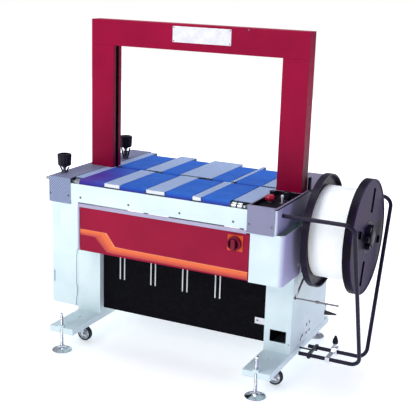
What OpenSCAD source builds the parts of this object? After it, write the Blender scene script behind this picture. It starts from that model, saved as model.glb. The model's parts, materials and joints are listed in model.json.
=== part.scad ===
// Arch strapping machine with a belt table, strap reel and reel cage.
// Millimetres, +Z up, X along the machine, Y along the parcel travel.

/* [Arch] */
// Clear width between the arch legs
arch_clear_w = 850; // [700:10:900]
// Clear height from table top to the underside of the arch
arch_clear_h = 583; // [400:1:800]
// Face width of the arch legs
arch_face = 120; // [90:1:130]
// Height of the arch top beam
arch_beam_h = 118; // [80:1:160]
// Depth of the arch section along the parcel travel
arch_depth = 73; // [60:1:90]

/* [Table] */
// Height of the belt surface above the floor
table_z = 848; // [820:1:900]
// Radius of the small rollers under the belts
roller_r = 17.7; // [12:0.1:17.7]
// Thickness of the flat belts
belt_t = 2; // [1:0.1:2]

/* [Reel] */
// Radius of the reel flanges
flange_r = 255; // [200:1:256]
// Radius of the full strap coil
coil_r = 205; // [120:1:240]
// Radius of the reel core
core_r = 100; // [60:1:110]
// Height of the reel axis above the floor
reel_z = 686; // [670:1:700]

/* [Cage] */
// Outer radius of the bent tubes
tube_r = 9; // [6:0.5:9]
// Centre-line bend radius of the tubes
bend_r = 45; // [30:1:60]

/* [Feet] */
// Radius of the levelling foot discs
foot_r = 47.5; // [30:0.5:50]
// Radius of the caster wheels
wheel_r = 37; // [25:0.5:37]

/* [Hidden] */
$fn = 64;
e = 0.01;
// offset that brings the middle of the outline over the origin
ox = 81.5; oy = 25;
ai = arch_clear_w/2; ao = ai + arch_face; ad = arch_depth/2;
az = table_z + arch_clear_h; at = az + arch_beam_h;
xl = -575; xr = 545; yf = -350; yr = 399;
belt_f = [[-415,-285],[-200,-70],[28,158],[205,335]];
belt_r = [[-412,-274],[-180,-82],[86,182],[206,338]];
roll_z = table_z - 20; nose = 326; mid = 32; pulley_r = 14;
cage_dy = 240; cage_dz = 704; cage_a = atan(cage_dy/cage_dz);
cage_l = sqrt(cage_dy*cage_dy + cage_dz*cage_dz);
cage_y = 290; cage_z = 806; cage_x = 870;
foot_x = 503; foot_y = [-366, 416];
caster_y = -212; trail = 30; wheel_z = 40;
slot_x = [-327,-156,15,186];
panel_y = -103;
leg_y = -130;
dial_x = 507; dial_y = -116;

// ---- helpers ----
module home() translate([-ox,-oy,0]) children();
module bx(x0,x1,y0,y1,z0,z1) translate([x0,y0,z0]) cube([x1-x0,y1-y0,z1-z0]);
module xc(x0,x1,y,z,r) translate([x0,y,z]) rotate([0,90,0]) cylinder(r=r,h=x1-x0);
module yc(y0,y1,x,z,r) translate([x,y0,z]) rotate([-90,0,0]) cylinder(r=r,h=y1-y0);
module zc(z0,z1,x,y,r) translate([x,y,z0]) cylinder(r=r,h=z1-z0);
// open-ended box tube standing on end
module boxtube(x0,x1,y0,y1,z0,z1,t) difference() {
  bx(x0,x1,y0,y1,z0,z1);
  bx(x0+t,x1-t,y0+t,y1-t,z0-1,z1+1);
}
// plan outline with one rounded corner at (+X,-Y)
module plan(x0,x1,y0,y1,r) union() {
  translate([x0,y0]) square([x1-x0-r,y1-y0]);
  translate([x0,y0+r]) square([x1-x0,y1-y0-r]);
  translate([x1-r,y0+r]) circle(r);
}
// belt loop outline in the Y-Z plane
module stadium(y0,y1,z,r) union() {
  translate([y0,z]) circle(r);
  translate([y1,z]) circle(r);
  translate([y0,z-r]) square([y1-y0,2*r]);
}
// turns a Y-Z drawing into a solid running from x0 to x1
module along_x(x0,x1) translate([x0,0,0]) rotate([90,0,90]) linear_extrude(x1-x0) children();
module along_y(y0,y1) translate([0,y1,0]) rotate([90,0,0]) linear_extrude(y1-y0) children();

// ---- base ----
module foot_beam(x0,x1) {
  difference() {
    bx(x0,x1,-371,421,88,118);
    bx(x0+3,x1-3,-368,418,87,115);
    for (y=foot_y) zc(80,130,(x0+x1)/2,y,8.4);
    zc(80,130,(x0+x1)/2,caster_y,6.4);
  }
  for (y=foot_y) difference() {
    zc(118-e,131,(x0+x1)/2,y,15);
    zc(110,140,(x0+x1)/2,y,8.4);
  }
  difference() {
    zc(96,115+e,(x0+x1)/2,caster_y,16);
    zc(90,120,(x0+x1)/2,caster_y,6.4);
  }
}
module leg_left() color("aliceblue") home() {
  foot_beam(-568,-438);
  boxtube(-566,-438,leg_y,130,118-e,742,2.5);
}
module leg_right() color("aliceblue") home() {
  foot_beam(438,568);
  difference() {
    boxtube(438,567,leg_y,350,118-e,507,2.5);
    bx(466,545,leg_y-1,leg_y+4,168,224);
    yc(leg_y-1,leg_y+4,558,166,3.5);
    for (y=[84,126], z=[152,192]) xc(560,570,y,z,7);
    for (a=[0:15:60]) xc(560,570,33+30*cos(90+a),148+30*sin(90+a)-20,6);
    for (p=[[96,246],[72,250]]) xc(560,570,p[0],p[1],2.5);
  }
  // head of the column that carries the table
  boxtube(450,550,-60,130,505,742,2.5);
  difference() {
    bx(438,567,leg_y,350,504,507);
    bx(453,547,-57,127,500,510);
  }
  difference() {
    xc(566,606,-62,494,5);
    xc(590,610,-62,494,1.6);
  }
}
module table_frame() color("gainsboro") home() {
  difference() {
    union() {
      bx(-556,530,-338,-308,744,784);
      bx(-556,530,357,387,744,784);
      bx(-556,-526,-338,387,744,784);
      bx(500,530,-338,387,744,784);
      for (x=[-260,230]) bx(x,x+30,-338,387,744,784);
      bx(-556,-414,-60,60,774,785);
      bx(386,530,-60,60,774,785);
      // tab that carries the rear bearing of the right side
      bx(404,420,310,360,774,784);
    }
    bx(-553,527,-335,-311,740,781);
    bx(-553,527,360,384,740,781);
    bx(-553,-529,-335,384,740,771);
    bx(503,527,-335,384,740,771);
    for (x=[-257,233]) bx(x,x+24,-335,384,740,781);
  }
  // bearing blocks that carry the four roller shafts
  for (y=[-nose,nose]) { bearing(-552,12,y); bearing(406,12,y); }
  for (y=[-mid,mid]) { bearing(-424,7,y); bearing(388,12,y); }
}
module bearing(x,w,y) difference() {
  bx(x,x+w,y-13,y+13,778,roll_z+12);
  xc(x-1,x+w+1,y,roll_z,8.1);
}
module levelling_feet() color("silver") home()
  for (x=[-foot_x,foot_x], y=foot_y) {
    zc(0,5,x,y,foot_r);
    translate([x,y,5-e]) cylinder(r1=foot_r,r2=16,h=9);
    translate([x,y,14-e]) cylinder(r=15,h=12,$fn=6);
    zc(20,178,x,y,8);
    difference() {
      translate([x,y,172]) cylinder(r=7.5,h=17,$fn=6);
      zc(181,192,x,y,3.5);
    }
  }
module caster_fork(x) {
  zc(84,112,x,caster_y,6);
  zc(80,86,x,caster_y,27);
  for (s=[-1,1]) translate([0,caster_y+s*16-1.5,0]) rotate([90,0,0]) mirror([0,0,1])
    linear_extrude(3) difference() {
      union() {
        polygon([[x-20,81],[x+26,81],[x+trail+11,wheel_z],[x+trail-11,wheel_z]]);
        translate([x+trail,wheel_z]) circle(11);
      }
      translate([x+trail,wheel_z]) circle(4);
    }
  yc(caster_y-20,caster_y+20,x+trail,wheel_z,4);
}
module caster_fork_left() color("silver") home() caster_fork(-foot_x);
module caster_fork_right() color("silver") home() caster_fork(foot_x);
module wheel(x,y) difference() {
  union() {
    yc(y-11,y+11,x,wheel_z,wheel_r);
    yc(y-13.5,y+13.5,x,wheel_z,11);
  }
  yc(y-20,y+20,x,wheel_z,4.1);
  for (s=[-1,1]) translate([x,y+s*10,wheel_z]) rotate([90,0,0])
    difference() { cylinder(r=27,h=4,center=true); cylinder(r=15,h=9,center=true); }
}
module caster_wheel_left() color("dimgray") home() wheel(-foot_x+trail,caster_y);
module caster_wheel_right() color("dimgray") home() wheel(foot_x+trail,caster_y);

// ---- arch ----
module arch_leg(s) difference() {
  boxtube(ai,ao,-ad,ad,786,az,2.5);
  bx(ai-1,ai+3,-14,14,table_z-9,az+1);
}
module arch_leg_left() color("crimson") home() mirror([1,0,0]) arch_leg();
module arch_leg_right() color("crimson") home() arch_leg();
module arch_top_beam() color("crimson") home() difference() {
  bx(-ao,ao,-ad,ad,az,at);
  bx(-ao+2.5,ao-2.5,-ad+2.5,ad-2.5,az+2.5,at-2.5);
  for (s=[-1,1]) bx(s>0?ai+2.5:-ao+2.5,s>0?ao-2.5:-ai-2.5,-ad+2.5,ad-2.5,az-1,az+3);
  bx(-ai-3,ai+3,-14,14,az-1,az+3);
}
// strap guide channel that runs round the inside of the arch
module track_plan(k) {
  translate([-ai-k,table_z-8]) square([2*(ai+k),arch_clear_h+8+k-40]);
  translate([-ai-k+40,table_z-8]) square([2*(ai+k-40),arch_clear_h+8+k]);
  for (s=[-1,1]) translate([s*(ai+k-40),az+k-40]) circle(40);
}
module track_mouth() translate([-ai-0.5,table_z-20]) square([2*ai+1,arch_clear_h+20.5]);
module strap_track() color("darkslategray") home() union() {
  along_y(-13,13) difference() { track_plan(20); track_plan(18); track_mouth(); }
  for (y=[-13,11]) along_y(y,y+2) difference() { track_plan(19); track_mouth(); }
}

// ---- belt table ----
module belts(list,y0,y1) for (p=list) along_x(p[0],p[1]) difference() {
  stadium(y0,y1,roll_z,20);
  stadium(y0,y1,roll_z,20-belt_t);
}
module table_belts() color("royalblue") home() {
  belts(belt_f,-nose,-mid);
  belts(belt_r,mid,nose);
}
module roller(list,y,x0,x1) union() {
  xc(x0,x1,y,roll_z,8);
  for (p=list) xc(p[0]-1,p[1]+1,y,roll_z,roller_r);
}
module roller_front_nose() color("silver") home() {
  roller(belt_f,-nose,-606,420);
  for (p=[[-441,-430],[-428,-417],[345,365],[372,392]]) xc(p[0],p[1],-nose,roll_z,roller_r);
}
module roller_front_mid() color("silver") home() {
  roller(belt_f,-mid,-424.2,402);
  xc(352,368,-mid,roll_z,pulley_r);
}
module roller_rear_mid() color("silver") home() {
  roller(belt_r,mid,-424.2,402);
  xc(352,368,mid,roll_z,pulley_r);
}
module roller_rear_nose() color("silver") home() roller(belt_r,nose,-554,420);
module bed_front() union() {
  bx(-460,422,-303,-55,table_z-4.5,table_z-2.5);
  for (p=[[-460,-418],[338,422]]) bx(p[0],p[1],-303,-11,table_z-2.5-e,table_z-1);
  for (p=[[-282,-203],[-67,25],[161,202]]) {
    bx(p[0],p[1],-340,-11,table_z-2.5-e,table_z-1);
    bx(p[0],p[1],-342,-340+e,table_z-18,table_z-1);
  }
}
module bed_rear() difference() {
  union() {
    bx(-460,422,55,303,table_z-4.5,table_z-2.5);
    for (p=[[-460,-415],[-271,-183],[185,203],[341,422]]) {
      bx(p[0],p[1],11,388,table_z-2.5-e,table_z-1);
      bx(p[0],p[1],388-e,390,table_z-18,table_z-1);
    }
  }
  bx(-80,84,0,400,table_z-10,table_z+5);
}
module slider_beds() color("lightsteelblue") home() difference() {
  union() { bed_front(); bed_rear(); }
  bx(-470,-ai+0.7,-ad-0.7,ad+0.7,table_z-10,table_z+5);
}
module head_cover() color("lightsteelblue") home() union() {
  bx(-79,83,12,388,table_z-2.5,table_z-0.5);
  for (x=[-77,79]) bx(x,x+2,60,376,table_z-9,table_z-2);
}
module belt_drive() color("slategray") home() {
  // gear motor under the table
  xc(300,348,60,700,46);
  xc(160,300+e,60,700,38);
  bx(250,340,30,90,738,743.5);
  xc(348-e,372,60,700,8);
}
module motor_pulley() color("silver") home() difference() {
  xc(352,368,60,700,22);
  xc(340,380,60,700,8.1);
}
module belt_path(t) hull() {
  for (y=[-mid,mid]) translate([y,roll_z]) circle(pulley_r+0.4+t);
  translate([60,700]) circle(22.4+t);
}
module drive_belt() color("black") home() along_x(353,367) difference() {
  belt_path(1.6);
  belt_path(0);
}
// small diamond-pattern end plates
module plate_left() difference() {
  union() {
    bx(xl,-463,yf,yr,table_z-3,table_z);
    bx(xl,xl+3,yf,yr,table_z-88,table_z-1);
  }
  bx(-ao-0.5,-400,-ad-0.5,ad+0.5,table_z-10,table_z+5);
  bx(xl-1,xl+4,-nose-10,-nose+10,roll_z-10,roll_z+10);
}
module plate_right() difference() {
  bx(424,557,yf,yr,table_z-3,table_z);
  bx(400,ao+0.5,-ad-0.5,ad+0.5,table_z-10,table_z+5);
  bx(431,549,-342,-44,table_z-10,table_z+5);
}
module top_plates() color("lightsteelblue") home() { plate_left(); plate_right(); }
module corner_brackets() color("lightgray") home()
  for (p=[[xl,-458,xl+7,-469],[423,xr,433,xr-10]], q=[[yf-3.2,yf-0.2],[yr+0.2,yr+3.2]]) difference() {
    bx(p[0],p[1],q[0],q[1],table_z-120,table_z);
    for (x=[p[2],p[3]]) yc(q[0]-1,q[1]+1,x,table_z-82,3);
  }
module apron(y0,yt) difference() {
  union() {
    bx(-460,422,y0,y0+2,table_z-106,table_z-22);
    bx(-460,422,yt,yt+12,table_z-106,table_z-104);
  }
  for (x=[-405,-152,104,359]) yc(y0-1,y0+3,x,table_z-83,3);
}
module aprons() color("white") home() { apron(yf,yf); apron(yr-2,yr-12); }
module trim_rail() color("silver") home() union() {
  bx(-421,422,yf,yf+6,720,737);
  bx(-421,-412,yf,yf+6,513,720+e);
}
module fasteners() color("silver") home() {
  for (x=[-405,-152,104,359], s=[-1,1]) {
    y=s<0?yf:yr;
    yc(s<0?y-2.5:y,s<0?y:y+2.5,x,table_z-83,5);
    yc(s<0?y-1:y-8,s<0?y+8:y+1,x,table_z-83,2.8);
  }
  for (x=[xl+7,-469,433,xr-10], s=[-1,1]) {
    y=s<0?yf-3.2:yr+3.2;
    yc(s<0?y-2.5:y,s<0?y:y+2.5,x,table_z-82,5);
    yc(s<0?y-1:y-3,s<0?y+3:y+1,x,table_z-82,2.8);
  }
  // studs that carry the two clamp knobs of the left end
  for (p=knob_p) {
    zc(table_z+0.05,table_z+5,p[0],p[1],15);
    zc(table_z+1,table_z+p[2]+32,p[0],p[1],6);
  }
}

// ---- body covers ----
module left_housing() color("aliceblue") home() difference() {
  bx(-519,-422,-345,-132,515,741.5);
  bx(-517,-424,-343,-134,517,745);
}
module red_panel() color("firebrick") home() difference() {
  bx(-411,434,-345,-325,513,718);
  bx(-409,432,-343,-320,515,716);
  yc(-350,-340,371,672,9);
}
module right_housing() color("aliceblue") home() translate([0,0,508]) difference() {
  linear_extrude(224.5) plan(437,590,-345,390,28);
  translate([0,0,2]) linear_extrude(230) plan(439,588,-343,388,26);
  translate([0,0,-1]) linear_extrude(5) translate([448,-136]) square([122,500]);
  translate([580,-158,40]) cube([20,14,16]);
  xc(580,600,0,reel_z-508,30);
}
module end_cover_right() color("aliceblue") home() difference() {
  translate([0,0,733.5]) linear_extrude(table_z-10-733.5) difference() {
    plan(440,557,-346,393,10);
    plan(430,555,-344,391,8);
  }
  bx(430,533,-360,400,730,860);
  for (y=[-cage_y,cage_y]) xc(540,600,y,cage_z,tube_r+0.4);
}
module rear_panel() color("aliceblue") home() difference() {
  bx(-560,434,388,396,513,740);
  bx(-558,432,380,394,515,738);
  for (i=[-3:3]) bx(i*30-60,i*30-50,380,400,560,640);
}
module vented_panel() color("black") home() {
  difference() {
    bx(-434,436.5,panel_y,panel_y+3,146,503);
    for (x=slot_x, k=[-12,12]) bx(x+k-3,x+k+3,panel_y-5,panel_y+5,310,422);
  }
  // turn latch at the right end of the panel
  difference() {
    bx(383,433,panel_y-9,panel_y-6.5,230,260);
    yc(panel_y-12,panel_y-2,395,246,4);
  }
  yc(panel_y-7,panel_y+1,415,240,5);
}
module pool_box() color("gainsboro") home() difference() {
  bx(-430,432,-40,0,160,500);
  bx(-428,430,-38,-2,162,498);
  bx(380,415,-30,-10,490,505);
}
module control_box() color("aliceblue") home() {
  difference() {
    bx(-716,-567,-130,130,136,700);
    bx(-714,-569,-135,128,138,698);
    bx(-665,-625,60,100,130,140);
  }
  // hinge pins of the door
  for (z=[200,420,620]) {
    zc(z-7,z+47,-572,-134,2);
    for (k=[-7,41]) bx(-574,-568,-136,-129.9,z+k,z+k+6);
  }
}
module control_door() color("aliceblue") home() difference() {
  union() {
    bx(-716,-576,-133,-130.5,136,700);
    for (z=[200,420,620]) zc(z,z+40,-572,-134,4);
    for (z=[200,420,620]) bx(-577,-572,-134,-131.5,z,z+40);
  }
  for (z=[190,410,610]) zc(z,z+60,-572,-134,2.1);
  bx(-708,-700,-136,-128,244,304);
}
module control_gear() color("gray") home() {
  bx(-712,-580,120,124,160,680);
  for (i=[0:3]) bx(-705+i*30,-680+i*30,70,120,560,630);
  bx(-700,-600,50,120,190,290);
  bx(-705,-590,100,120,380,500);
  for (i=[0:5]) bx(-705+i*20,-690+i*20,90,120,320,345);
  // mains inlet in the floor of the box
  difference() {
    union() { bx(-664.5,-625.5,60.5,99.5,122,160); bx(-672,-618,56,104,126,135.9); }
    bx(-658,-632,66,94,118,140);
  }
}
module main_switch_plate() color("gold") home() difference() {
  bx(335,407,-347,-345.2,636,708);
  yc(-350,-340,371,672,8.6);
}
module main_switch_knob() color("firebrick") home() {
  yc(-368,-348,371,672,31);
  yc(-376,-367,371,672,22);
  yc(-349,-330,371,672,8);
}

// ---- operator controls ----
module operator_panel() color("black") home() {
  difference() {
    bx(431.5,548.5,-341.5,-44.5,table_z-20,table_z-0.5);
    bx(434,546,-339,-47,table_z-17,table_z+2);
    for (p=[[458,-190,9],[dial_x,dial_y,4]]) zc(table_z-25,table_z,p[0],p[1],p[2]+0.4);
    bx(510.4,517.6,-196.5,-183.5,table_z-25,table_z);
  }
  // shrouded lamp beside the dial
  difference() {
    zc(table_z-18,table_z+17,447,-128,15);
    zc(table_z+12,table_z+20,447,-128,11);
  }
  // bracket at the foot of the right arch leg
  difference() {
    bx(546.5,555,38,62,table_z+0.3,table_z+56);
    xc(540,560,50,table_z+44,3);
  }
}
module stop_button() color("red") home() {
  zc(table_z-32,table_z-6,458,-190,9);
  zc(table_z-7,table_z+8,458,-190,22.5);
  translate([458,-190,table_z+8-e]) cylinder(r1=22.5,r2=14,h=7);
}
module mode_toggle() color("silver") home() {
  xc(509,519,-190,table_z-26,5);
  zc(table_z-26,table_z+12,514,-190,3);
  translate([514,-190,table_z+14]) sphere(r=7);
}
module tension_dial() color("black") home() difference() {
  union() { zc(table_z-30,table_z-12,dial_x,dial_y,4); zc(table_z-14,table_z+20,dial_x,dial_y,19); }
  bx(dial_x-1,dial_x+1,dial_y-30,dial_y-4,table_z+18.5,table_z+25);
}

// ---- left end knobs ----
knob_p = [[-556,-255,31],[-486,185,58]];
module side_knob(p) difference() {
  zc(table_z+p[2],table_z+p[2]+58,p[0],p[1],33);
  zc(table_z+p[2]-5,table_z+p[2]+36,p[0],p[1],6.1);
  for (a=[0:45:359]) zc(table_z+p[2]+8,table_z+p[2]+70,p[0]+36*cos(a),p[1]+36*sin(a),5);
}
module side_knob_front() color("black") home() side_knob(knob_p[0]);
module side_knob_rear() color("black") home() side_knob(knob_p[1]);

// ---- sealing head under the strap slot ----
head_x = -21;
module head_plates() difference() {
  union() {
    for (y=[-26,16]) bx(-120,150,y,y+10,600,805);
    bx(-120,150,-26,60,590,600+e);
    for (p=[[-105,620],[135,620],[-105,790]]) yc(-20,20,p[0],p[1],8);
    bx(-256,-120+e,-26,60,590,596);
    bx(150-e,258,-26,60,590,596);
    for (x=[-258,252]) bx(x,x+6,-26,12,590,743.5);
  }
  yc(-30,30,head_x,700,10.1);
  yc(-30,30,100,740,6.1);
}
module head_frame() color("slategray") home() {
  head_plates();
  // anvil under the strap slot, on two narrow posts between the belts
  bx(-62,20,-9.5,9.5,table_z-8,table_z-2);
  for (x=[-62,12]) {
    bx(x,x+8,-17,17,795,805);
    bx(x,x+8,-9.5,9.5,804,table_z-8+e);
  }
}
module press_platen() color("silver") home() bx(head_x-20,head_x+20,-9,9,724.5,table_z-20);
module cam_shaft() color("silver") home() {
  yc(-40,70,head_x,700,10);
  yc(-9,9,head_x,696,26.5);
}
module feed_wheel() color("silver") home() {
  yc(-34,66,100,740,6);
  yc(-7,7,100,740,32);
}
module head_motor() color("slategray") home() {
  yc(110,250,head_x,700,42);
  yc(70.5,110+e,head_x,700,30);
  bx(head_x-35,head_x+35,120,230,645,661);
  bx(-262,258,150,200,640,645);
  for (x=[-262,254]) bx(x,x+4,150,200,640,743.5);
}

// ---- strap reel ----
module reel_shaft() color("silver") home() {
  xc(590.3,598,0,reel_z,55);
  xc(560,869,0,reel_z,12);
}
module flange_disc(x0,x1,rim0,rim1) difference() {
  union() {
    xc(x0,x1,0,reel_z,flange_r-2);
    difference() { xc(rim0,rim1,0,reel_z,flange_r); xc(rim0-1,rim1+1,0,reel_z,flange_r-7); }
  }
  xc(x0-30,x1+30,0,reel_z,12.1);
}
module reel_inner_flange() color("black") home() union() {
  flange_disc(640,644,630,660);
  difference() { xc(602,642,0,reel_z,34); xc(600,650,0,reel_z,12.1); }
  difference() { xc(642,820,0,reel_z,core_r); xc(640,822,0,reel_z,core_r-4); }
}
module reel_outer_flange() color("black") home() difference() {
  union() {
    flange_disc(844,848,813,850);
    difference() { xc(822,850,0,reel_z,56); xc(820,852,0,reel_z,12.1); }
    difference() { xc(822,844+e,0,reel_z,99); xc(820,846,0,reel_z,94); }
    xc(838,840,0,reel_z,230);
    // ribs that press on the side of the coil
    for (a=[39.5:45:359]) translate([0,0,reel_z]) rotate([a,0,0]) translate([822,-2.5,50]) cube([22+e,5,199]);
  }
  xc(820,852,0,reel_z,12.1);
  for (a=[0:90:270]) translate([0,0,reel_z]) rotate([-a-17,0,0]) translate([840,-17,108]) cube([20,34,108]);
}
module strap_coil() color("white") home() difference() {
  xc(646,820,0,reel_z,coil_r);
  xc(640,830,0,reel_z,core_r+0.4);
}
module hand_nut() color("black") home() difference() {
  union() {
    xc(850.4,872,0,reel_z,36);
    for (a=[0:60:300]) xc(850.4,868,43*cos(a),reel_z+43*sin(a),13.5);
  }
  xc(840,870,0,reel_z,12.3);
}
module dancer_arm() color("black") home() {
  difference() {
    union() {
      xc(593,602,-62,494,12);
      along_x(594,600) polygon([[-59,490],[-65,498],[-184,418],[-178,410]]);
      xc(594,600,-181,414,7);
    }
    xc(580,610,-62,494,5.1);
  }
  xc(590,701,-181,414,3.2);
  xc(700,793,-181,414,3.8);
  xc(690,706,-181,414,6.5);
  bx(733,739,-184,-178,372,412);
  translate([734,-181,374]) rotate([0,90,0]) cylinder(r1=11,r2=3,h=52);
}
module strap_run() color("white") home() {
  along_x(600.5,606.5) polygon([[-151.4,560],[-150.4,560],[-188,418],[-189,418]]);
  bx(572,606.5,-151.4,-150.4,559,561);
}
module cage_tube(x0) rotate([cage_a,0,0]) difference() {
  union() {
    translate([550,0,0]) rotate([0,90,0]) cylinder(r=tube_r,h=cage_x-bend_r-550);
    translate([cage_x-bend_r,0,-bend_r]) rotate([90,0,0]) rotate_extrude(angle=90) translate([bend_r,0]) circle(tube_r);
    translate([cage_x,0,-cage_l+bend_r]) cylinder(r=tube_r,h=cage_l-2*bend_r);
    translate([cage_x-bend_r,0,-cage_l+bend_r]) rotate([90,0,0]) rotate([0,0,-90]) rotate_extrude(angle=90) translate([bend_r,0]) circle(tube_r);
    translate([x0,0,-cage_l]) rotate([0,90,0]) cylinder(r=tube_r,h=cage_x-bend_r-x0);
  }
  translate([540,0,0]) rotate([0,90,0]) cylinder(r=tube_r-2,h=cage_x-bend_r-540);
  translate([560,0,-cage_l]) rotate([0,90,0]) cylinder(r=tube_r-2,h=cage_x-bend_r-560);
}
module cage_tubes() color("dimgray") home()
  for (m=[0,1]) mirror([0,m,0]) translate([0,-cage_y,cage_z]) cage_tube(m==0?583:594);
bar_z = cage_z-cage_dz; bar_y = cage_y-cage_dy;
module saddle(x0,x1) difference() {
  bx(x0,x1,-bar_y-13,bar_y+13,bar_z-12,bar_z+12);
  bx(x0-1,x1+1,-bar_y+13,bar_y-13,bar_z-20,bar_z+2);
  for (s=[-1,1]) xc(x0-2,x1+2,s*bar_y,bar_z,tube_r+0.3);
}
module cage_clamps() color("silver") home() {
  saddle(626,640);
  bx(626,640,-8,8,bar_z+2-e,bar_z+10);
  xc(568,626+e,0,bar_z+6,4);
  difference() {
    union() {
      saddle(712,732);
      bx(708,736,bar_y-15,bar_y+15,bar_z-14,bar_z+22);
      zc(bar_z+22-e,bar_z+40,722,bar_y,9);
    }
    xc(700,740,bar_y,bar_z,tube_r+0.3);
    zc(bar_z+20,bar_z+50,722,bar_y,4.3);
  }
}
module clamp_knob() color("black") home() {
  zc(bar_z+24,bar_z+44,722,bar_y,4);
  zc(bar_z+41,bar_z+56,722,bar_y,13);
  translate([722,bar_y,bar_z+56-e]) cylinder(r1=13,r2=4,h=22);
}

leg_left();
leg_right();
table_frame();
levelling_feet();
caster_fork_left();
caster_fork_right();
caster_wheel_left();
caster_wheel_right();
arch_leg_left();
arch_leg_right();
arch_top_beam();
strap_track();
table_belts();
roller_front_nose();
roller_front_mid();
roller_rear_mid();
roller_rear_nose();
slider_beds();
head_cover();
belt_drive();
motor_pulley();
drive_belt();
top_plates();
corner_brackets();
aprons();
trim_rail();
fasteners();
left_housing();
red_panel();
right_housing();
end_cover_right();
rear_panel();
vented_panel();
pool_box();
control_box();
control_door();
control_gear();
main_switch_plate();
main_switch_knob();
operator_panel();
stop_button();
mode_toggle();
tension_dial();
side_knob_front();
side_knob_rear();
head_frame();
press_platen();
cam_shaft();
feed_wheel();
head_motor();
reel_shaft();
reel_inner_flange();
reel_outer_flange();
strap_coil();
hand_nut();
dancer_arm();
strap_run();
cage_tubes();
cage_clamps();
clamp_knob();
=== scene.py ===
import bpy, bmesh, json, math, random
from mathutils import Vector, Matrix
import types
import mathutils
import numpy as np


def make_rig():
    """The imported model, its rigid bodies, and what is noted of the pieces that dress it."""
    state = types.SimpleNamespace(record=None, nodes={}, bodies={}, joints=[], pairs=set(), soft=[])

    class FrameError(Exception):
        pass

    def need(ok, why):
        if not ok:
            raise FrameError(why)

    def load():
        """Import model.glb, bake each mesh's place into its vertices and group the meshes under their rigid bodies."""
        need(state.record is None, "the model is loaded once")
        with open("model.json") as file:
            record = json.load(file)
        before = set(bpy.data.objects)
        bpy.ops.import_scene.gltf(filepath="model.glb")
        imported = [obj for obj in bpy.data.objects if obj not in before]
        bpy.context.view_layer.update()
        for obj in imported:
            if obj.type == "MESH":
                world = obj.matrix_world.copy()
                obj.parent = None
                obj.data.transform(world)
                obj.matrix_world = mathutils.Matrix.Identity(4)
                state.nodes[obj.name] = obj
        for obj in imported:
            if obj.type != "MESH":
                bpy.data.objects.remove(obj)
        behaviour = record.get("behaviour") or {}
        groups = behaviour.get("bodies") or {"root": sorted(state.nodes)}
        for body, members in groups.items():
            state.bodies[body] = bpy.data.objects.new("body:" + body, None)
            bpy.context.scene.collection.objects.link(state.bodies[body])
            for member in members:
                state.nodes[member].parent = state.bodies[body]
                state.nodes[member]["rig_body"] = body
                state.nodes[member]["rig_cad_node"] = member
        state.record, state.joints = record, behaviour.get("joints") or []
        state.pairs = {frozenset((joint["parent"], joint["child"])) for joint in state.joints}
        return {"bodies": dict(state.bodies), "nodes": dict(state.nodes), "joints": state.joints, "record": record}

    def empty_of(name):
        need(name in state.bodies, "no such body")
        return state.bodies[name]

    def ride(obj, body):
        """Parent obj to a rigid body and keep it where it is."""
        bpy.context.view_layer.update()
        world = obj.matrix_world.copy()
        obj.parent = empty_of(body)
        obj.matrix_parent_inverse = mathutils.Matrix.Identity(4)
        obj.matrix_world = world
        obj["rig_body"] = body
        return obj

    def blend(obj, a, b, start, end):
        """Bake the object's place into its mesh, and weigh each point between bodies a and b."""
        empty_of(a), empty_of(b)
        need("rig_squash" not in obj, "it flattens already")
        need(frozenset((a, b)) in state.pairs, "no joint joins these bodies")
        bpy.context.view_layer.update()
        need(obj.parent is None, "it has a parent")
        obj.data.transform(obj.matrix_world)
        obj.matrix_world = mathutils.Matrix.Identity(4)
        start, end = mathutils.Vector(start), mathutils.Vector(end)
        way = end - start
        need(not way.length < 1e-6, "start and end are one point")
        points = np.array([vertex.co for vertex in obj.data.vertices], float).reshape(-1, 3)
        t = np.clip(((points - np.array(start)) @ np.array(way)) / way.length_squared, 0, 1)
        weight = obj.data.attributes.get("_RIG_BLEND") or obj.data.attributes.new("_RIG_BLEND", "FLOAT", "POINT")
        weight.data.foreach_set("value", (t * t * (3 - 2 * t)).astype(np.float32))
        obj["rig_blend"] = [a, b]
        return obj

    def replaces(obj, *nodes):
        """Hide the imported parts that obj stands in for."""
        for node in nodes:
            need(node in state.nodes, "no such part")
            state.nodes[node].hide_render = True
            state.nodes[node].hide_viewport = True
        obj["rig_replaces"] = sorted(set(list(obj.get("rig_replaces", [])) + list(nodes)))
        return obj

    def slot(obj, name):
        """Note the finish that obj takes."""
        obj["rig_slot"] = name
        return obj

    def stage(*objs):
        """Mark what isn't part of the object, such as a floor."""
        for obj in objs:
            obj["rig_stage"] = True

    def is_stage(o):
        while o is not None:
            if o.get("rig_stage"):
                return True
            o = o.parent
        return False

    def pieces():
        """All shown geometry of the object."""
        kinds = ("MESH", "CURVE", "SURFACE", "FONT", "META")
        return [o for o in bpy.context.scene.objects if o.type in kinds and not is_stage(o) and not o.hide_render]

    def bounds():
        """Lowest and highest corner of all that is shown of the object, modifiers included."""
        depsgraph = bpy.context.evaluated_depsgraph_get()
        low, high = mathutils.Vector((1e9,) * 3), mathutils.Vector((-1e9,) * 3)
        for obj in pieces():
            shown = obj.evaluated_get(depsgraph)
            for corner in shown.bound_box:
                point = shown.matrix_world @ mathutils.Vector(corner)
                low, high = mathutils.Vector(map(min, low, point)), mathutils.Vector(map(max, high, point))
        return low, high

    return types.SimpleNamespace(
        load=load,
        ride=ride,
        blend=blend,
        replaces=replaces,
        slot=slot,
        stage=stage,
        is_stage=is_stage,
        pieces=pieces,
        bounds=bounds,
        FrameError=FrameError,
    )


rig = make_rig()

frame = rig.load()
lo0, hi0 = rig.bounds()
NODES = frame["nodes"]
BODY = {n: b for b, ns in frame["record"]["behaviour"]["bodies"].items() for n in ns}
SLOT = {s["node"]: s["material_slot"] for s in frame["record"]["subparts"]}
rnd = random.Random(7)


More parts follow.
